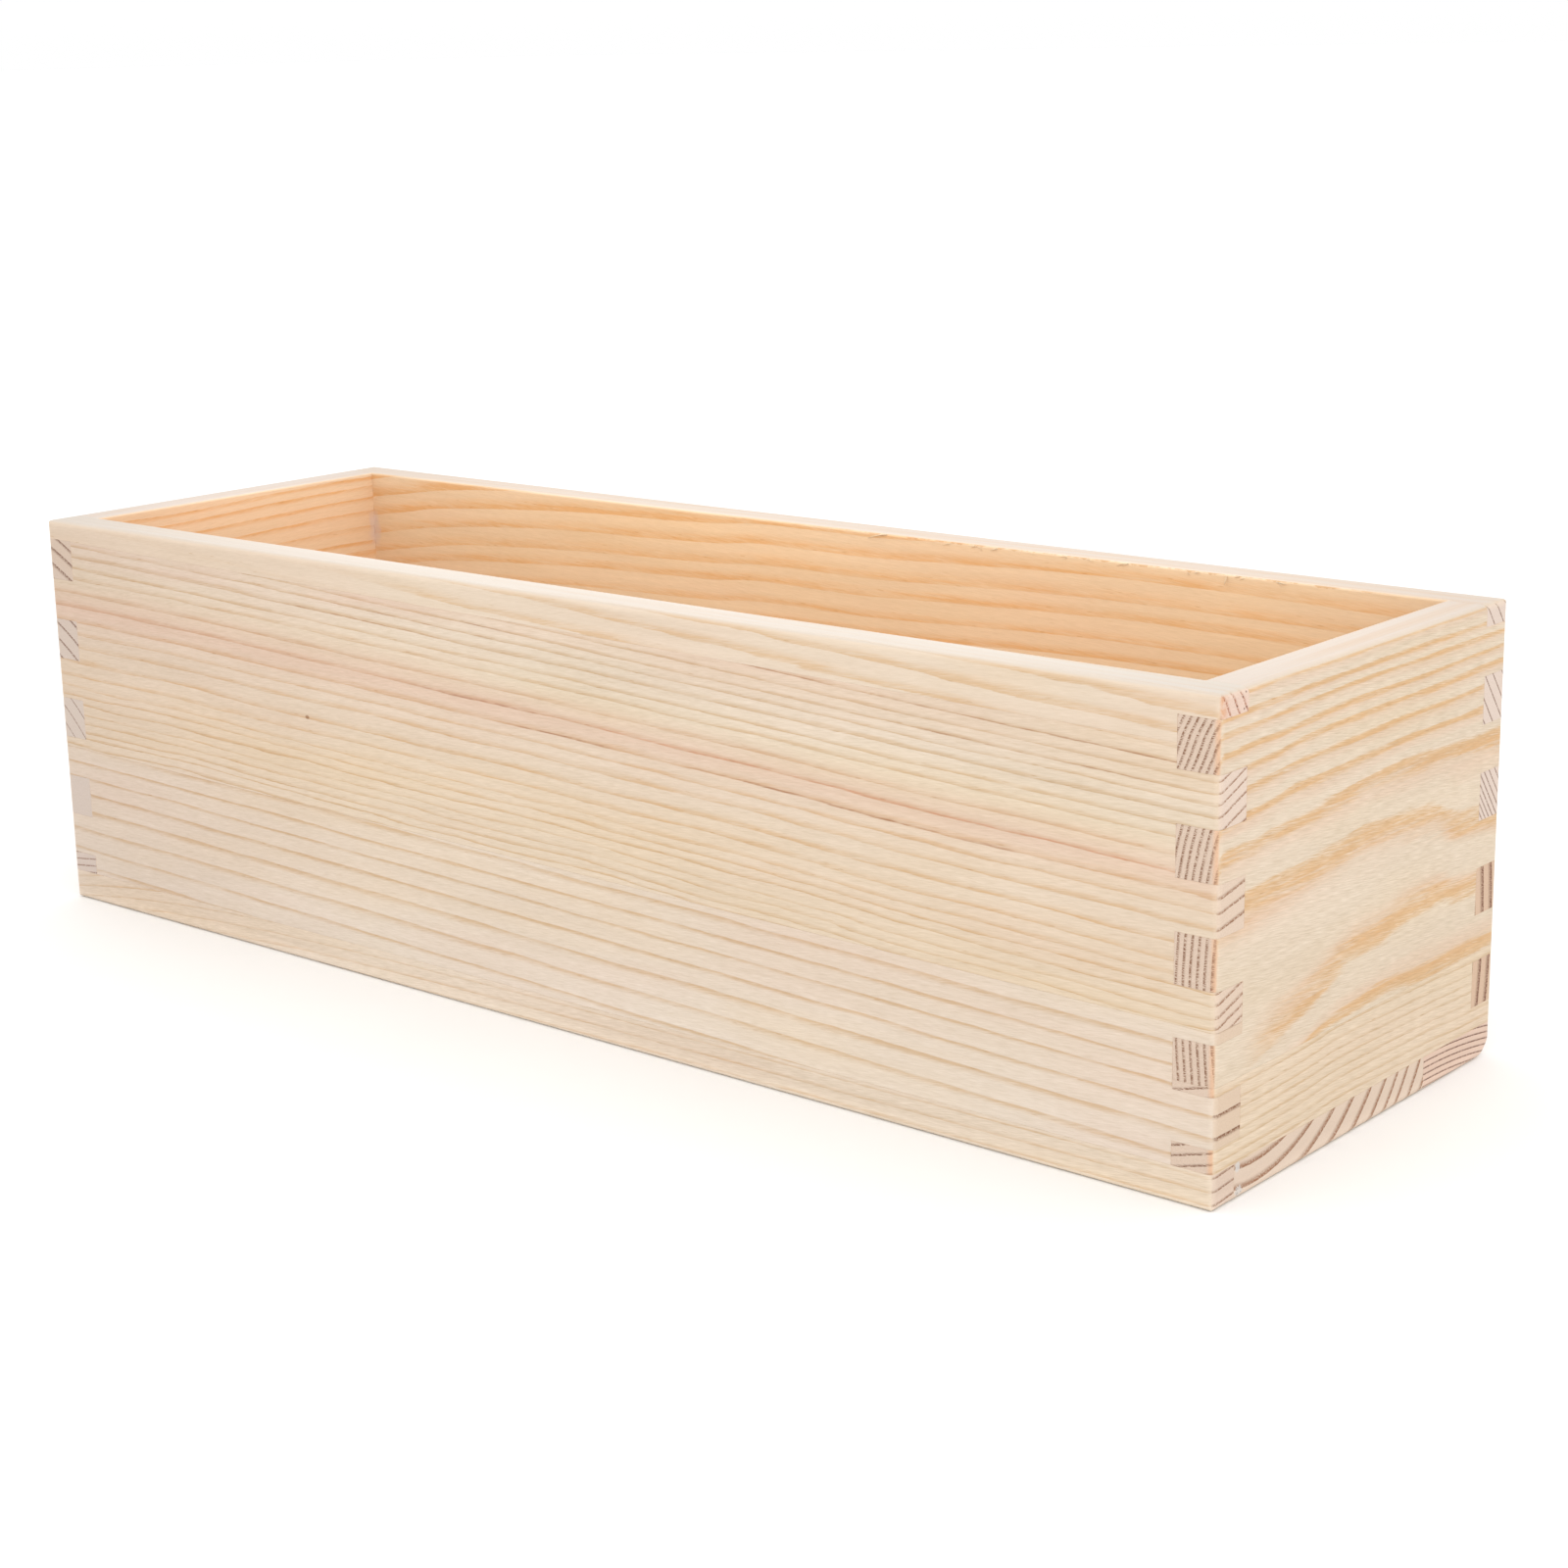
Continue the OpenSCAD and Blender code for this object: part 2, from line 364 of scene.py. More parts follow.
# ---------------------------------------------------------------------------
# Pine, sanded and unfinished
# ---------------------------------------------------------------------------
def pine(name, grain, field, seed, early, late, end, inside_bounce, strength=None, share=(0.24, 0.40),
         dark=(0.5, 1.0), peak=0.93, fall=0.955, rosy=0.0, ragged=1.0, frayed=1.0, fading=0.6, edge=0.4, texture=0.6,
         sanding=(0.0, 0.0), streaks=0.4, quiet=0.68, rim_highlight=None, behind=None, marked=(), tone=None,
         shade_tint=(1.0, 0.974, 0.976), extra=None):
    """One stave's material.

    grain        'x' or 'y', the way its fibres run
    field        its growth rings
    early, late  colour of the wood on a long face, and how the dense part of a
                 ring tints it; one colour, or stops across the rings
    end          sawn end grain: its colour, its lines' colour, the share of a
                 ring that they take up, how broken they are and the size of
                 the saw's ticks across and down
    inside_bounce  how the face inside the box is tinted warmer, a painted warm bounce light, and which way it looks
    strength     stops across the rings for how dark each one is
    peak, fall   where in a ring the wood is densest, and where it stops
    edge         how plain the thin line at that place is
    sanding      how far the belt's scratches are turned from the grain, and
                 how plain they are
    streaks      how plain the warm streaks along the rim are
    quiet        how far the rim is free of ring lines
    rim_highlight  how the rim is tinted: paler and bluer, a painted highlight of the light from above
    behind       colour of the sawn ends at the back, where it differs
    marked       strokes on ring lines: which line, from and to where along the
                 box, and how it is tinted
    tone, shade_tint  painted shade: stops along the box for how light the stave is,
             darker towards the left where less light falls, and how that shade is tinted
    """
    net = Net(bpy.data.materials.new(name))
    tex = net.node("ShaderNodeTexCoord")
    x, y, z = [c * 1000.0 for c in net.split(V(net, tex.outputs["Object"]))]
    nx, ny, nz = net.split(V(net, tex.outputs["Normal"]))
    xl, yf, drop = x + HX, y + HY, (HEIGHT - z) * (87.0 / HEIGHT)
    if grain == "x":
        u, p, along, across = x, y, nx, xl
    else:
        u, p, along, across = y, x, ny, yf
    ends = abs(along).smooth(0.55, 0.8)

    # fibres, at three sizes, and slow clouds of tone, each about 0
    fine = net.fuzz(u / 2.6 + seed, p / 0.20, z / 0.20, detail=1.0)
    fibre = net.fuzz(u / 12.0 + seed, p / 0.55, z / 0.55)
    strand = net.fuzz(u / 45.0 + seed, p / 1.5, z / 1.5)
    cloud = net.fuzz(u / 60.0 + seed, p / 9.0, z / 9.0)
    hue = net.fuzz(u / 80.0 + seed + 4.0, p / 14.0, z / 14.0)

    # scratches of the sanding belt, a little off the grain
    turn, scuff = math.radians(sanding[0]), sanding[1]
    flat = abs(nz).smooth(0.6, 0.8)
    down = drop + (p - drop) * flat
    s1 = across * math.cos(turn) + down * math.sin(turn)
    s2 = down * math.cos(turn) - across * math.sin(turn)
    scratch = net.fuzz(s1 / 4.0, s2 / 0.19, seed, detail=1.0)

    # the ring edges wander, kink and fray along the fibres
    if isinstance(ragged, list):
        ragged = net.curve(drop, ragged)
    wander = net.fuzz(u / 30.0 + seed + 5.0, p / 3.2, z / 3.2)
    kink = net.fuzz(u / 7.0 + seed + 8.0, p / 1.6, z / 1.6)
    rag = (0.6 * wander + 0.10 * kink) * ragged \
        + (0.30 * fibre + 0.22 * strand + 0.15 * fine + 0.12 * scratch) * frayed
    rag = rag * (1.0 - 0.75 * ends)
    n, d, *more = field(net, xl, yf, drop, rag)
    k = n.floor()
    f = n - k
    if more:
        width = more[0]
    else:
        width = share[0] + (share[1] - share[0]) * net.rand(k + seed)
    if strength:
        depth = net.curve(d, strength)
    else:
        depth = dark[0] + (dark[1] - dark[0]) * net.rand(k + seed + 0.37)
    fade = net.fuzz(u / 24.0 + seed + 2.0, p / 2.0, z / 2.0)
    dashes = net.fuzz(u / 6.0 + seed + 3.0, p / 0.9, z / 0.9)
    depth = (depth * (1.0 + fading * (1.4 * fade + 0.4 * dashes))).max(0.0)
    if more:
        depth = depth * more[1]
    dense = f.smooth(1.0 - width, peak) * (1.0 - f.smooth(fall, 1.0))
    edge_line = f.bump(peak, 0.09)

    # long faces
    if isinstance(early, list):
        colour = net.ramp(d, early)
        plain = early[len(early) // 2][1]
    else:
        colour = net.mix(0.0, early, early)
        plain = early
    colour = net.grade(colour, 0.05 * cloud + 0.05 * strand)
    # painted shade: darker and pinker towards the left end, where less light falls
    if tone:
        colour = net.gain(colour, net.curve(xl, tone))
        colour = net.tint(1.0 - xl.smooth(25.0, 125.0), colour, shade_tint)
    colour = net.tint((1.4 * hue).clamp(), colour, (1.01, 0.985, 0.93))
    colour = net.tint((-1.4 * hue).clamp(), colour, (1.0, 0.965, 0.965))
    tint = net.ramp(d, late) if isinstance(late, list) else late
    colour = net.tint(dense * depth * (1.0 + 0.9 * fibre - 0.5 * scratch), colour, tint)
    if rosy:
        colour = net.tint(f.bump(0.48, 0.30) * depth * rosy, colour, (1.0, 0.90, 0.87))
    colour = net.tint(edge_line * depth * (0.5 + 0.9 * fine).clamp() * edge, colour, tint)
    if marked:
        stroke = f.bump(peak, 0.13) * (0.5 + 1.1 * dashes + 0.7 * fine).clamp()
        for place, start, stop, ratio in marked:
            here = d.bump(place, 1.0) * xl.smooth(start - 7.0, start + 7.0) * (1.0 - xl.smooth(stop - 7.0, stop + 7.0))
            colour = net.tint(stroke * here, colour, ratio)
    colour = net.grade(colour, texture * (0.17 * fine + 0.11 * fibre) + scuff * scratch)
    # resin canals: short thin dashes along the grain
    dash = net.cells(u / 6.0 + seed, p / 0.8, z / 0.8)
    dash = (1.0 - dash.smooth(0.05, 0.17)) * (0.3 + dense)
    colour = net.tint(dash.clamp() * 0.6, colour, (0.80, 0.68, 0.54))

    # sawn ends
    e1 = y if grain == "x" else x
    end_early, end_late, end_share, end_break, (tick_e, tick_z) = end
    pores = net.fuzz(e1 / 0.22, z / 0.22, u / 0.5 + seed, rough=0.7)
    marks = net.fuzz(e1 / tick_e, z / tick_z, u / 3.0 + seed + 9.0, rough=0.6)
    if isinstance(end_share, list):
        end_share = net.curve(d, end_share)
        if behind:
            end_share = end_share.max(0.2 * yf.smooth(40.0, 60.0))
        shown = end_share.smooth(0.10, 0.16)
    else:
        shown = 1.0
    end_dense = f.smooth(1.0 - end_share, peak) * (1.0 - f.smooth(fall + 0.01, 1.0)) * shown
    broken = (1.0 - 0.3 * end_break + 3.0 * end_break * marks).clamp()
    if isinstance(end_early, list):
        end_early = net.ramp(d, end_early)
    if behind:
        end_early = net.mix(yf.smooth(30.0, 70.0), end_early, behind)
    end_colour = net.mix((end_dense * broken).clamp(), end_early, end_late)
    end_colour = net.grade(end_colour, (0.06 + 0.12 * end_break) * pores + 0.13 * end_break * marks)
    colour = net.mix(ends, colour, end_colour)

    # the inside of the box is tinted warmer than its outside, a painted warm bounce light, and the rim paler
    ratio, (ix, iy, iz) = inside_bounce
    looks_in = (nx * ix + ny * iy + nz * iz).smooth(0.45, 0.8)
    colour = net.tint(looks_in, colour, ratio)
    rim_top = nz.smooth(0.55, 0.9) * drop.smooth(2.0, 1.0)
    colour = net.mix(rim_top * quiet, colour, plain)
    # painted highlight: the rim, facing the light from above, is tinted paler and bluer, as if washed out
    colour = net.tint(rim_top, colour, rim_highlight or RIM_HIGHLIGHT)
    streak = 0.25 + 1.3 * net.fuzz(u / 70.0 + seed, p / 1.1, 2.0, detail=1.0) + 0.5 * fibre
    colour = net.tint(rim_top * streak.clamp() * streaks, colour, (0.975, 0.86, 0.74))

    # handled edges: sanded a little rounder, paler and smoother; the paler edge is also a painted highlight along the
    # arrises
    ax, ay, az = HX - abs(x), HY - abs(y), drop.min(z)
    outer = ax.min(ay).max(ax.max(ay).min(az))
    rim = drop.max(abs((HX - WALL - abs(x)).min(HY - WALL - abs(y))))
    nibble = 1.2 * (net.noise(x / 3.0, y / 3.0, z / 3.0, detail=2.0) - 0.5)
    wear_and_highlight = (1.0 - outer.smooth(0.2, 1.5 + nibble)).max(1.0 - rim.smooth(0.1, 0.9 + nibble))
    colour = net.mix(wear_and_highlight * 0.35, colour, tuple(min(1.0, c * 1.09) for c in plain))
    # a little paler along the lowest edge, against the shade of the floor
    colour = net.tint(drop.smooth(83.4, 86.2), colour, (1.10, 1.115, 1.13))
    if extra:
        colour = extra(net, colour, xl, yf, drop, nx, ny, nz)

    rough = 0.62 - 0.10 * dense * (1.0 - ends) + 0.16 * ends + 0.04 * fine - 0.08 * wear_and_highlight
    height = (0.006 * fine + 0.007 * fibre + 0.012 * dense + 0.05 * scuff * scratch) * (1.0 - ends) \
        + (0.008 * pores + 0.006 * marks - 0.012 * end_dense) * ends

    shader = net.node("ShaderNodeBsdfPrincipled")
    net.plug(shader.inputs["Base Color"], colour)
    net.plug(shader.inputs["Roughness"], rough)
    shader.inputs["Specular IOR Level"].default_value = 0.32
    bump = net.node("ShaderNodeBump")
    bump.inputs["Strength"].default_value = 0.9
    bump.inputs["Distance"].default_value = 0.001
    net.plug(bump.inputs["Height"], height)
    net.tree.links.new(bump.outputs[0], shader.inputs["Normal"])
    out = net.node("ShaderNodeOutputMaterial")
    net.tree.links.new(shader.outputs[0], out.inputs["Surface"])
    return net.owner


# painted highlight on the rim: paler and bluer
RIM_HIGHLIGHT = (0.85, 0.93, 1.09)
# painted warm bounce light, tinting the faces inside the box
WARM_BOUNCE = (1.07, 1.012, 0.922)


def pin_knot(net, colour, xl, yf, drop, nx, ny, nz):
    a = (xl - 83.5) / 0.75
    b = (drop - 33.4) / 0.5
    spot = 1.0 - (a * a + b * b).smooth(0.2, 1.0)
    colour = net.tint(spot * ny.smooth(-0.4, -0.8), colour, (0.55, 0.42, 0.34))
    # rosier along the joint with the top stave
    rose = (1.0 - drop.smooth(6.5, 10.5)) * (0.45 + 1.3 * net.fuzz(xl / 45.0, drop / 6.0, 8.0)).clamp()
    return net.tint(rose * ny.smooth(-0.4, -0.8), colour, (0.985, 0.925, 0.925))


def paling(net, colour, xl, yf, drop, nx, ny, nz):
    """A little paler towards the bottom panel, against the shade of the floor."""
    return net.tint(drop.smooth(63.0, 80.0) * ny.smooth(-0.4, -0.8), colour, (1.025, 1.05, 1.08))


def specks(net, colour, xl, yf, drop, nx, ny, nz):
    """A resin stain and dark specks on the top finger at the right."""
    face = nx.smooth(0.5, 0.8) * xl.smooth(290.0, 292.0)
    stain = (1.0 - yf.smooth(0.4, 2.6)) * (0.7 + net.fuzz(yf / 0.8, drop / 1.2, 3.0)).clamp()
    colour = net.tint(face * stain, colour, (0.92, 0.68, 0.52))
    dots = 1.0 - net.cells(yf / 1.1, drop / 1.0, 7.0).smooth(0.10, 0.26)
    return net.tint(face * dots * yf.smooth(3.4, 4.6), colour, (0.30, 0.24, 0.22))


def warm_arris(net, colour, xl, yf, drop, nx, ny, nz):
    """The last ring line before the right arris, stained orange."""
    t = 300.0 - xl
    near = 1.0 - t.smooth(0.5, 1.5)
    colour = net.tint(near * ny.smooth(-0.5, -0.8) * 0.8, colour, (1.06, 0.82, 0.66))
    # a broad warm band on the rim, plainer towards the back
    band = (t + 0.5 * net.fuzz(yf / 25.0, t / 2.0, 6.0)).bump(3.4, 1.9) * yf.smooth(14.0, 46.0)
    rim = nz.smooth(0.6, 0.9) * (1.0 - drop.smooth(0.6, 1.6))
    # painted highlight: the rim at the right end is tinted a little lighter
    colour = net.tint(rim, colour, (1.06, 1.05, 1.04))
    colour = net.tint(band * rim, colour, (0.985, 0.91, 0.83))
    return glue(net, colour, xl, yf, drop, nx, ny, nz)


def glue(net, colour, xl, yf, drop, nx, ny, nz):
    """Dried glue squeezed out by the bottom's joint at the right."""
    rough = net.fuzz(yf / 0.5, drop / 0.5, 5.0)
    a = 1.0 - ((yf - 7.5) * (yf - 7.5) + (drop - 81.2) * (drop - 81.2) + 0.9 * rough).smooth(0.5, 1.0)
    b = 1.0 - (0.6 * (yf - 7.9) * (yf - 7.9) + (drop - 85.6) * (drop - 85.6) + 0.9 * rough).smooth(0.5, 1.0)
    spot = a.max(b) * nx.smooth(0.5, 0.8)
    colour = net.mix(spot * 0.85, colour, srgb(228, 222, 216))
    dots = 1.0 - net.cells(yf / 0.6, drop / 0.6, 2.0).smooth(0.12, 0.28)
    return net.tint(spot * dots, colour, (0.55, 0.50, 0.47))


def corner_glue(net, colour, xl, yf, drop, nx, ny, nz):
    """Glue wiped along the inside corner at the back left."""
    away = (xl - 8.0).max(88.0 - yf)
    ragged = net.fuzz(xl / 1.5, yf / 1.5, drop / 2.5)
    wide = away + 1.4 * ragged
    smear = (1.0 - wide.smooth(0.6, 2.3)) * (drop + 2.0 * ragged).smooth(8.5, 11.0) * (1.0 - drop.smooth(15.5, 19.0))
    inside = nx.smooth(0.5, 0.8).max(ny.smooth(-0.5, -0.8)) * xl.smooth(7.0, 7.9) * (1.0 - yf.smooth(88.1, 89.0))
    return net.mix(smear * inside * 0.6, colour, srgb(232, 208, 198))


def glue_and_torn_shadow(net, colour, xl, yf, drop, nx, ny, nz):
    """Torn fibres along the inside top edge of the back, with a painted shadow: a thin dark band under them."""
    colour = corner_glue(net, colour, xl, yf, drop, nx, ny, nz)
    inside = ny.smooth(-0.5, -0.8) * (1.0 - yf.smooth(88.1, 89.0))
    place = xl.smooth(120.0, 190.0) * (1.0 - xl.smooth(270.0, 285.0))
    deep = 0.10 + 0.8 * net.fuzz(xl / 5.0, 0.0, 1.0) + 0.4 * net.fuzz(xl / 1.2, 3.0, 1.0)
    # painted shadow: darker in a thin band just below the torn edge
    torn_shadow = (1.0 - (drop - deep).smooth(0.0, 0.25)) * place
    return net.tint(torn_shadow * inside, colour, (0.80, 0.68, 0.56))


# across the front boards, from the rim down
FRONT_EARLY = [(-10.0, srgb(235, 214, 191)), (6.0, srgb(233, 211, 187)), (12.0, srgb(234, 216, 194)),
               (18.0, srgb(234, 215, 190)), (21.0, srgb(233, 209, 184)), (24.5, srgb(232, 204, 181)),
               (28.0, srgb(233, 211, 188)), (32.0, srgb(233, 213, 190)), (38.0, srgb(233, 212, 187)),
               (44.0, srgb(233, 212, 186)), (50.0, srgb(233, 213, 188)), (56.0, srgb(235, 216, 193)), (70.0, srgb(235, 217, 195))]
FRONT_LATE = [(-10.0, (0.86, 0.77, 0.66)), (9.0, (0.86, 0.77, 0.66)), (16.0, (0.86, 0.765, 0.645)),
              (23.6, (0.89, 0.78, 0.69)), (28.0, (0.89, 0.77, 0.63)), (38.0, (0.90, 0.765, 0.60)),
              (45.0, (0.87, 0.76, 0.62)), (70.0, (0.86, 0.765, 0.64))]
FRONT_STRENGTH = [(-10.0, 0.5), (2.2, 0.5), (4.8, 0.8), (6.9, 0.75), (9.0, 0.95), (10.9, 0.85), (13.1, 0.95),
                  (15.5, 0.9), (17.6, 0.75), (20.7, 0.8), (23.6, 1.0), (26.9, 0.85), (29.4, 0.75), (32.2, 0.65),
                  (35.6, 0.8), (38.6, 0.65), (41.2, 0.55), (43.1, 0.8), (45.1, 0.9), (47.3, 0.55), (49.1, 0.75),
                  (51.1, 0.9), (53.0, 0.95), (56.0, 0.8), (72.0, 0.8)]

DOTS = (0.42, 0.34)
TICKS = (0.85, 0.17)
# painted shade: how light each front stave is painted along the box, darker to the left
FRONT_SHADE = [(0.0, 0.90), (15.0, 0.915), (40.0, 0.945), (75.0, 0.977), (120.0, 1.0), (300.0, 1.0)]

MATERIALS = {
    "front_top_stave": dict(
        grain="x", field=rings_front_top, early=srgb(235, 215, 192), late=(0.90, 0.77, 0.61), share=(0.5, 0.7), dark=(0.8, 1.1),
        ragged=0.7, frayed=0.3, fading=0.4, edge=0.1, sanding=(-9, 0.06), texture=0.3, streaks=0.3, tone=FRONT_SHADE,
        rim_highlight=(0.85, 0.93, 1.05), shade_tint=(0.99, 0.958, 0.945), extra=specks,
        end=(srgb(240, 211, 193), srgb(176, 110, 78), 0.34, 0.8, DOTS), inside_bounce=(WARM_BOUNCE, (0, 1, 0))),
    "front_middle_stave": dict(
        grain="x", field=rings_front_middle, early=FRONT_EARLY, late=FRONT_LATE, strength=FRONT_STRENGTH,
        share=(0.40, 0.58), edge=0.8, ragged=[(0, 1.6), (26, 2.0), (36, 3.6), (50, 3.6), (87, 2.0)], frayed=0.9, fading=0.7, sanding=(-9, 0.09), texture=0.5, tone=FRONT_SHADE,
        marked=[(6.9, 84, 136, (0.78, 0.67, 0.61)), (10.9, 92, 140, (0.80, 0.69, 0.63)), (13.1, 72, 128, (0.82, 0.71, 0.65)),
                (4.8, 187, 300, (0.74, 0.61, 0.55)), (9.0, 126, 142, (0.66, 0.54, 0.50)), (9.0, 236, 285, (0.72, 0.58, 0.52)),
                (26.9, 145, 168, (0.64, 0.52, 0.48)), (26.9, 190, 265, (0.68, 0.55, 0.49)), (23.6, 118, 150, (0.70, 0.57, 0.52)),
                (23.6, 165, 300, (0.95, 0.78, 0.71))],
        extra=pin_knot,
        end=([(-10, srgb(236, 214, 197)), (14, srgb(236, 214, 197)), (26, srgb(233, 209, 188)), (72, srgb(233, 209, 188))],
             srgb(156, 112, 82), [(-10, 0.32), (40, 0.32), (46, 0.44), (72, 0.44)], 0.6, DOTS),
        inside_bounce=(WARM_BOUNCE, (0, 1, 0))),
    "front_lower_stave": dict(
        grain="x", field=rings_front_lower, early=srgb(234, 216, 196), late=(0.87, 0.76, 0.62), share=(0.25, 0.40),
        dark=(0.75, 1.0), edge=0.6, ragged=1.5, frayed=1.0, sanding=(-9, 0.09), texture=0.5, tone=FRONT_SHADE, extra=paling,
        end=(srgb(230, 205, 180), srgb(136, 90, 60), 0.26, 0.5, DOTS), inside_bounce=(WARM_BOUNCE, (0, 1, 0))),
    "back_upper_stave": dict(
        grain="x", field=rings_back_upper, early=srgb(237, 213, 183), late=(0.93, 0.73, 0.51), share=(0.5, 0.78),
        ragged=0.8, frayed=0.5, edge=0.1, sanding=(7, 0.05), texture=0.35, rim_highlight=(0.85, 0.93, 1.12), extra=glue_and_torn_shadow,
        end=(srgb(234, 214, 200), srgb(130, 94, 74), [(-28, 0.17), (16, 0.19), (25, 0.28), (32, 0.44), (66, 0.44)], 0.5,
             DOTS), inside_bounce=(WARM_BOUNCE, (0, -1, 0))),
    "back_lower_stave": dict(
        grain="x", field=rings_back_lower, early=srgb(235, 211, 182), late=(0.92, 0.74, 0.55), share=(0.3, 0.5),
        dark=(0.7, 1.0), sanding=(7, 0.05), texture=0.4,
        end=(srgb(225, 193, 166), srgb(112, 60, 32), 0.57, 0.6, (0.6, 0.2)),
        inside_bounce=(WARM_BOUNCE, (0, -1, 0))),
    "left_end_upper_stave": dict(
        grain="y", field=rings_left_upper, early=srgb(237, 213, 184), late=(0.93, 0.73, 0.51), share=(0.45, 0.7),
        frayed=0.6, edge=0.15, sanding=(-12, 0.05), streaks=0.1, texture=0.35, rim_highlight=(0.85, 0.93, 1.13),
        behind=srgb(229, 206, 184), extra=corner_glue,
        end=([(30, srgb(216, 199, 187)), (60, srgb(217, 200, 187)), (76, srgb(215, 196, 182)), (86, srgb(216, 193, 174)),
              (100, srgb(216, 193, 174))], srgb(130, 94, 76),
             [(30, 0.09), (49, 0.09), (53, 0.14), (61, 0.15), (66, 0.22), (76, 0.24), (82, 0.36), (100, 0.36)], 0.6, DOTS),
        # a stronger painted warm bounce light on the inside of the left end
        inside_bounce=((1.125, 1.03, 0.935), (1, 0, 0))),
    "left_end_lower_stave": dict(
        grain="y", field=rings_left_lower, early=srgb(233, 210, 183), late=(0.92, 0.78, 0.62),
        sanding=(-12, 0.05), texture=0.4, behind=srgb(229, 206, 184),
        end=(srgb(218, 200, 188), srgb(152, 120, 102), [(50, 0.09), (70, 0.09), (76, 0.34), (98, 0.34)], 0.6, DOTS),
        inside_bounce=(WARM_BOUNCE, (1, 0, 0))),
    "right_end_upper_stave": dict(
        grain="y", field=rings_right_upper, early=srgb(233, 214, 190), late=(0.94, 0.735, 0.505),
        dark=(0.9, 1.05), peak=0.76, fall=0.87, rosy=0.6, ragged=1.5, frayed=1.4, fading=0.4, texture=0.35,
        sanding=(8, 0.20), quiet=0.92, rim_highlight=(0.85, 0.90, 1.03), extra=warm_arris,
        end=(srgb(225, 201, 181), srgb(142, 103, 78), 0.60, 1.0, TICKS), inside_bounce=(WARM_BOUNCE, (-1, 0, 0))),
    "right_end_lower_stave": dict(
        grain="y", field=rings_right_lower, early=srgb(236, 215, 188), late=(0.86, 0.775, 0.66), share=(0.4, 0.6),
        frayed=1.0, texture=0.4, sanding=(8, 0.17), extra=warm_arris,
        end=(srgb(226, 202, 182), srgb(130, 91, 67), 0.38, 0.8, TICKS), inside_bounce=(WARM_BOUNCE, (-1, 0, 0))),
    "bottom_front_stave": dict(
        grain="x", field=rings_bottom_front, early=srgb(236, 218, 197), late=(0.89, 0.79, 0.67),
        sanding=(-9, 0.14), tone=FRONT_SHADE, extra=glue,
        end=(srgb(230, 206, 187), srgb(152, 112, 86), 0.30, 0.6, DOTS), inside_bounce=(WARM_BOUNCE, (0, 0, 1))),
    "bottom_middle_stave": dict(
        grain="x", field=rings_bottom_middle, early=srgb(234, 211, 185), late=(0.90, 0.78, 0.64),
        sanding=(-9, 0.14), extra=glue, end=(srgb(235, 213, 193), srgb(160, 112, 80), 0.42, 0.4, DOTS),
        inside_bounce=(WARM_BOUNCE, (0, 0, 1))),
    "bottom_back_stave": dict(
        grain="x", field=rings_bottom_back, early=srgb(232, 206, 182), late=(0.92, 0.82, 0.72),
        sanding=(-9, 0.14), end=(srgb(238, 208, 188), srgb(106, 64, 42), 0.40, 0.45, DOTS), inside_bounce=(WARM_BOUNCE, (0, 0, 1))),
}

for index, (node, look) in enumerate(MATERIALS.items()):
    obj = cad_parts[node]
    material = pine("bare_" + node.replace("_stave", ""), seed=17.0 * (index + 1), **look)
    for slot in obj.material_slots:
        slot.material = material
    # the two staves with the turned rim corners keep their own fine roundings
    if node in ("front_top_stave", "back_upper_stave"):
        continue
    weld = obj.modifiers.new("one_skin", "WELD")
    weld.merge_threshold = 1e-6
    bevel = obj.modifiers.new("eased_arrises", "BEVEL")
    bevel.width = 0.00006
    bevel.segments = 2
    bevel.limit_method = "ANGLE"
    bevel.angle_limit = math.radians(35)
    bevel.use_clamp_overlap = False
    bevel.harden_normals = False

# ---------------------------------------------------------------------------
# Fibres that the cutter tore along the inside top edge of the back
# ---------------------------------------------------------------------------
def fibre_tube(bm, path, wide):
    """A flat fibre along a path in millimetres, tapering to its tip."""
    points = [Vector(pt) * 0.001 for pt in path]
    last = None
    for i, at in enumerate(points):
        t = i / (len(points) - 1)
        ahead = (points[min(i + 1, len(points) - 1)] - points[max(i - 1, 0)]).normalized()
        side = ahead.cross(Vector((0.3, 0.8, 0.52))).normalized()
        lift = side.cross(ahead)
        r = 0.001 * (wide * (1.0 - t) ** 0.6 + 0.02)
        ring = [bm.verts.new(at + side * (r * math.cos(a)) + lift * (0.45 * r * math.sin(a)))
                for a in [k * math.pi / 3 for k in range(6)]]
        if last:
            for k in range(6):
                bm.faces.new((last[k], last[(k + 1) % 6], ring[(k + 1) % 6], ring[k]))
        else:
            bm.faces.new(ring[::-1])
        last = ring
    bm.faces.new(last)


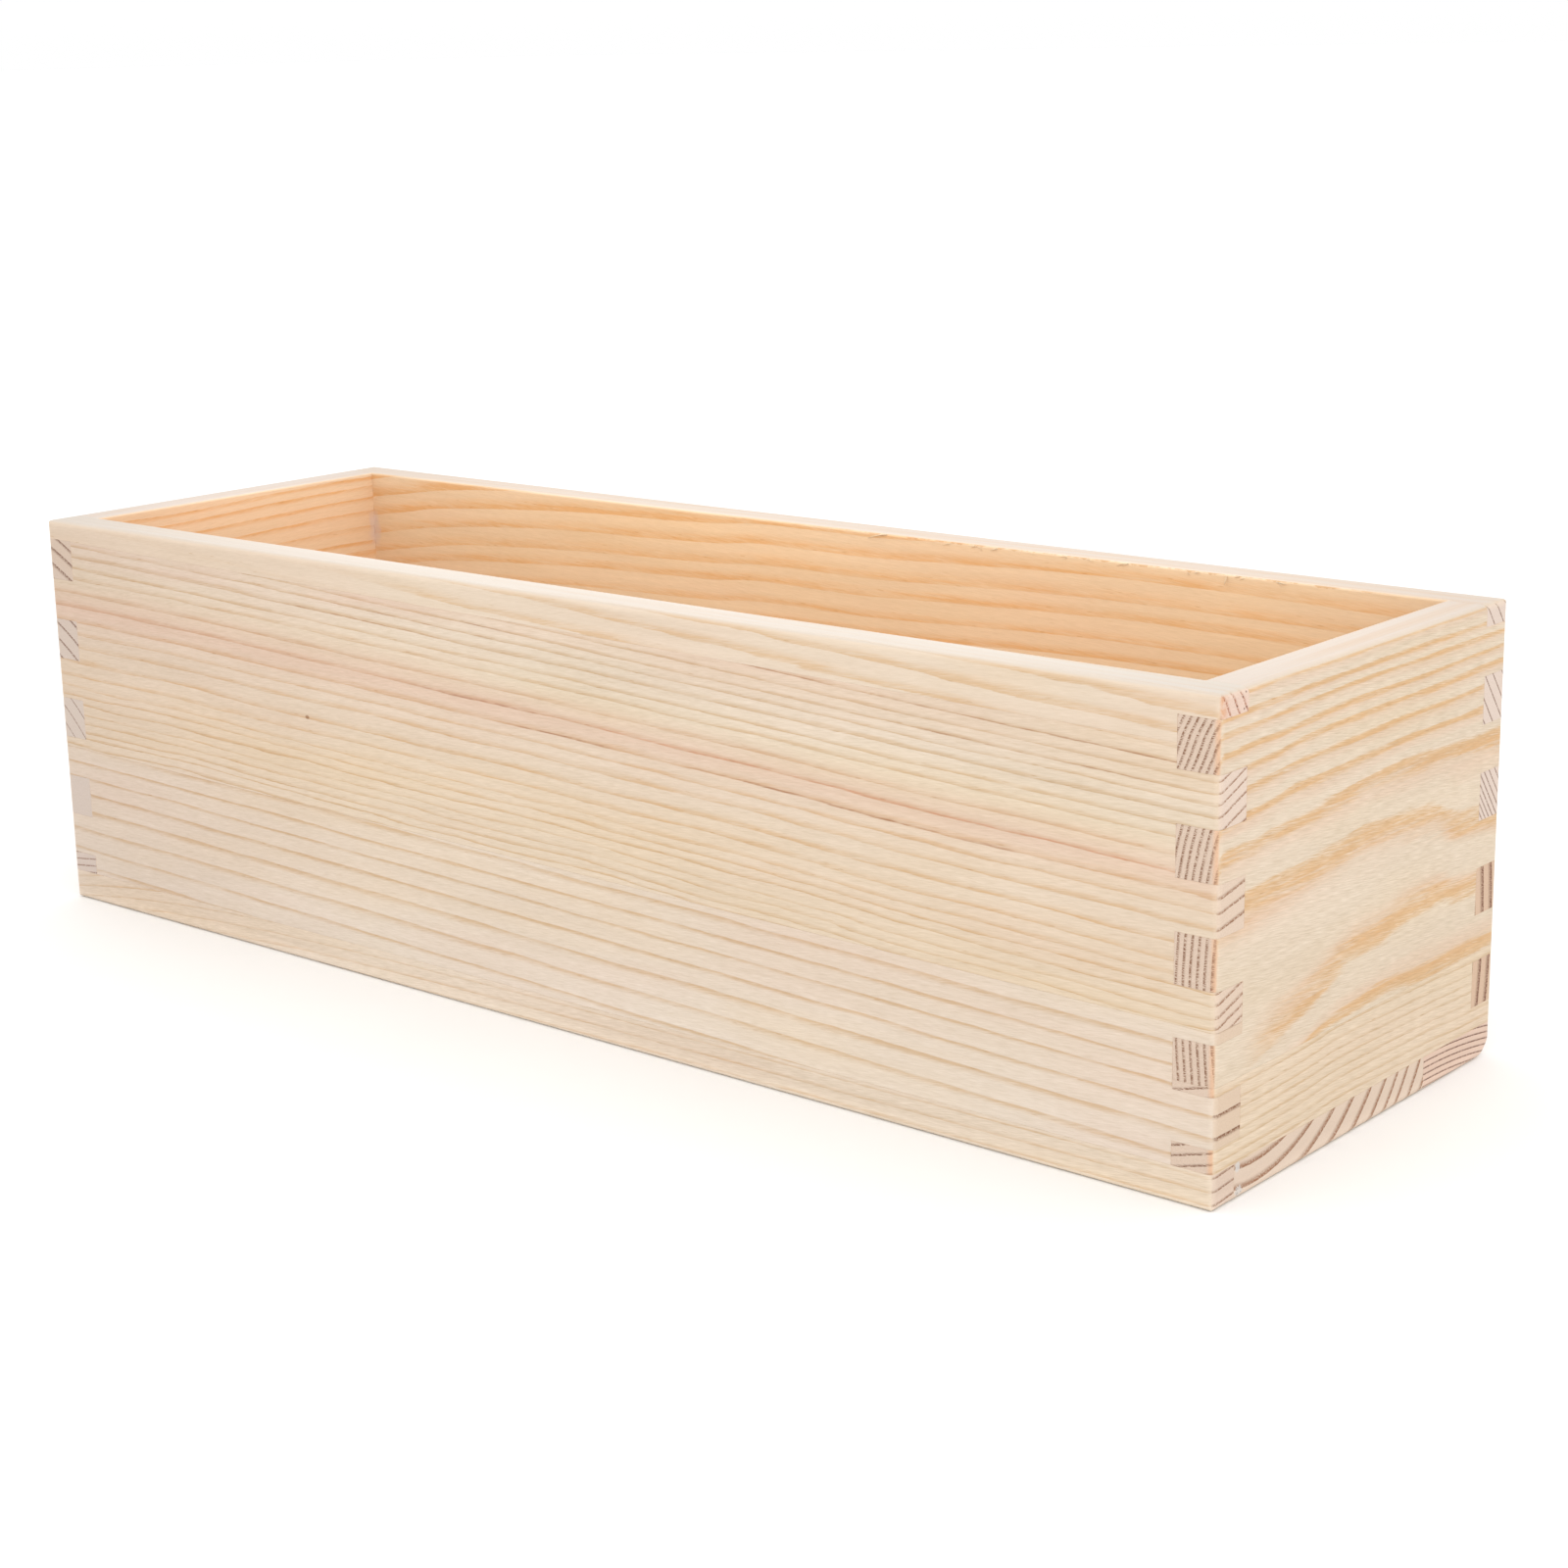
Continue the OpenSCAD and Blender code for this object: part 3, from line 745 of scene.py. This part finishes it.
dice = random.Random(41)
bm = bmesh.new()
EDGE = HY - WALL
fibre_tube(bm, [(15.0, EDGE + 0.05, HEIGHT - 0.25), (13.8, EDGE - 0.25, HEIGHT - 0.3), (12.5, EDGE - 0.45, HEIGHT - 0.6),
                (11.2, EDGE - 0.5, HEIGHT - 1.0), (10.3, EDGE - 0.4, HEIGHT - 1.3)], 0.20)
fibre_tube(bm, [(96.3, EDGE + 0.05, HEIGHT - 0.3), (96.5, EDGE - 0.35, HEIGHT - 0.7), (96.4, EDGE - 0.5, HEIGHT - 1.2),
                (96.2, EDGE - 0.45, HEIGHT - 1.7), (96.0, EDGE - 0.3, HEIGHT - 2.1)], 0.15)
for _ in range(18):
    at = dice.uniform(28.0, 112.0)
    long = dice.uniform(0.6, 2.0) * dice.choice((-1.0, -1.0, 1.0))
    out = dice.uniform(0.12, 0.35)
    sag = dice.uniform(0.1, 0.7)
    top = HEIGHT - dice.uniform(0.25, 0.55)
    fibre_tube(bm, [(at, EDGE + 0.05, top), (at + 0.35 * long, EDGE - 0.7 * out, top - 0.15 * sag),
                    (at + 0.7 * long, EDGE - out, top - 0.5 * sag), (at + long, EDGE - 0.8 * out, top - sag)],
               dice.uniform(0.07, 0.15))
bmesh.ops.recalc_face_normals(bm, faces=bm.faces)
fibre_mesh = bpy.data.meshes.new("torn_fibres")
bm.to_mesh(fibre_mesh)
bm.free()
for polygon in fibre_mesh.polygons:
    polygon.use_smooth = True
torn_fibres = bpy.data.objects.new("torn_fibres", fibre_mesh)
bpy.context.scene.collection.objects.link(torn_fibres)
net = Net(bpy.data.materials.new("torn_pine_fibre"))
tex = net.node("ShaderNodeTexCoord")
px, py, pz = [c * 1000.0 for c in net.split(V(net, tex.outputs["Object"]))]
along = net.fuzz(px / 0.8, py / 0.1, pz / 0.1)
patch = net.fuzz(px / 6.0, py, pz)
shader = net.node("ShaderNodeBsdfPrincipled")
net.plug(shader.inputs["Base Color"],
         net.grade(net.mix((0.5 + patch).clamp(), srgb(240, 216, 180), srgb(246, 230, 204)), 0.15 * along))
net.plug(shader.inputs["Roughness"], 0.68 + 0.08 * along)
shader.inputs["Specular IOR Level"].default_value = 0.3
bump = net.node("ShaderNodeBump")
bump.inputs["Strength"].default_value = 0.5
bump.inputs["Distance"].default_value = 0.001
net.plug(bump.inputs["Height"], 0.01 * along)
net.tree.links.new(bump.outputs[0], shader.inputs["Normal"])
out = net.node("ShaderNodeOutputMaterial")
net.tree.links.new(shader.outputs[0], out.inputs["Surface"])
fibre_mesh.materials.append(net.owner)
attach(torn_fibres, "root")

# ---------------------------------------------------------------------------
# Studio
# ---------------------------------------------------------------------------
floor_mesh = bpy.data.meshes.new("studio_floor")
bm = bmesh.new()
bmesh.ops.create_grid(bm, x_segments=8, y_segments=8, size=20.0)
bm.to_mesh(floor_mesh)
bm.free()
floor = bpy.data.objects.new("studio_floor", floor_mesh)
bpy.context.scene.collection.objects.link(floor)
net = Net(bpy.data.materials.new("studio_paper"))
tex = net.node("ShaderNodeTexCoord")
px, py, pz = [c * 1000.0 for c in net.split(V(net, tex.outputs["Object"]))]
paper = net.noise(px / 60.0, py / 60.0, 0.0, detail=3.0)
shader = net.node("ShaderNodeBsdfPrincipled")
net.plug(shader.inputs["Base Color"], net.mix(paper, (0.89, 0.89, 0.885), (0.91, 0.91, 0.905)))
net.plug(shader.inputs["Roughness"], 0.85 + 0.1 * paper)
shader.inputs["Specular IOR Level"].default_value = 0.1
out = net.node("ShaderNodeOutputMaterial")
net.tree.links.new(shader.outputs[0], out.inputs["Surface"])
floor_mesh.materials.append(net.owner)

world = bpy.data.worlds.new("white_studio")
bpy.context.scene.world = world
net = Net(world)
tex = net.node("ShaderNodeTexCoord")
_, _, up = net.split(V(net, tex.outputs["Generated"]))
sky = net.node("ShaderNodeBackground")
sky.inputs["Color"].default_value = (1.0, 1.0, 1.0, 1.0)
net.plug(sky.inputs["Strength"], 1.0 + 0.45 * up.max(0.0))
out = net.node("ShaderNodeOutputWorld")
net.tree.links.new(sky.outputs[0], out.inputs["Surface"])

def softbox(name, at, look_at, size, watts):
    lamp = bpy.data.lights.new(name, "AREA")
    lamp.shape = "RECTANGLE"
    lamp.size, lamp.size_y = size
    lamp.energy = watts
    lamp_object = bpy.data.objects.new(name, lamp)
    bpy.context.scene.collection.objects.link(lamp_object)
    away = Vector(at) - Vector(look_at)
    lamp_object.matrix_world = Matrix.Translation(at) @ away.to_track_quat("Z", "Y").to_matrix().to_4x4()
    lamp_object.visible_camera = False
    return lamp_object


# one over the open box, so that its inside is as light as its outside, and a
# broad one from the front right
softbox("opening_softbox", (0.0, 0.0, 0.122), (0.0, 0.0, 0.0), (0.27, 0.066), 0.055)
softbox("key_softbox", (0.75, -0.85, 0.55), (0.10, -0.05, 0.04), (0.8, 0.8), 2.0)

cam = bpy.data.cameras.new("photo_camera")
cam.sensor_fit = "HORIZONTAL"
cam.sensor_width = 36.0
cam.lens = 66.6803
cam.clip_start = 0.01
cam.clip_end = 200.0
camera = bpy.data.objects.new("photo_camera", cam)
bpy.context.scene.collection.objects.link(camera)
camera.matrix_world = Matrix((
    (0.76419378, -0.14732151, 0.62793649, 0.38179449),
    (0.64469672, 0.20366255, -0.73680914, -0.42456732),
    (-0.01933931, 0.96789355, 0.25061535, 0.18637692),
    (0.0, 0.0, 0.0, 1.0)))
bpy.context.scene.camera = camera
bpy.context.scene.view_settings.view_transform = "Standard"
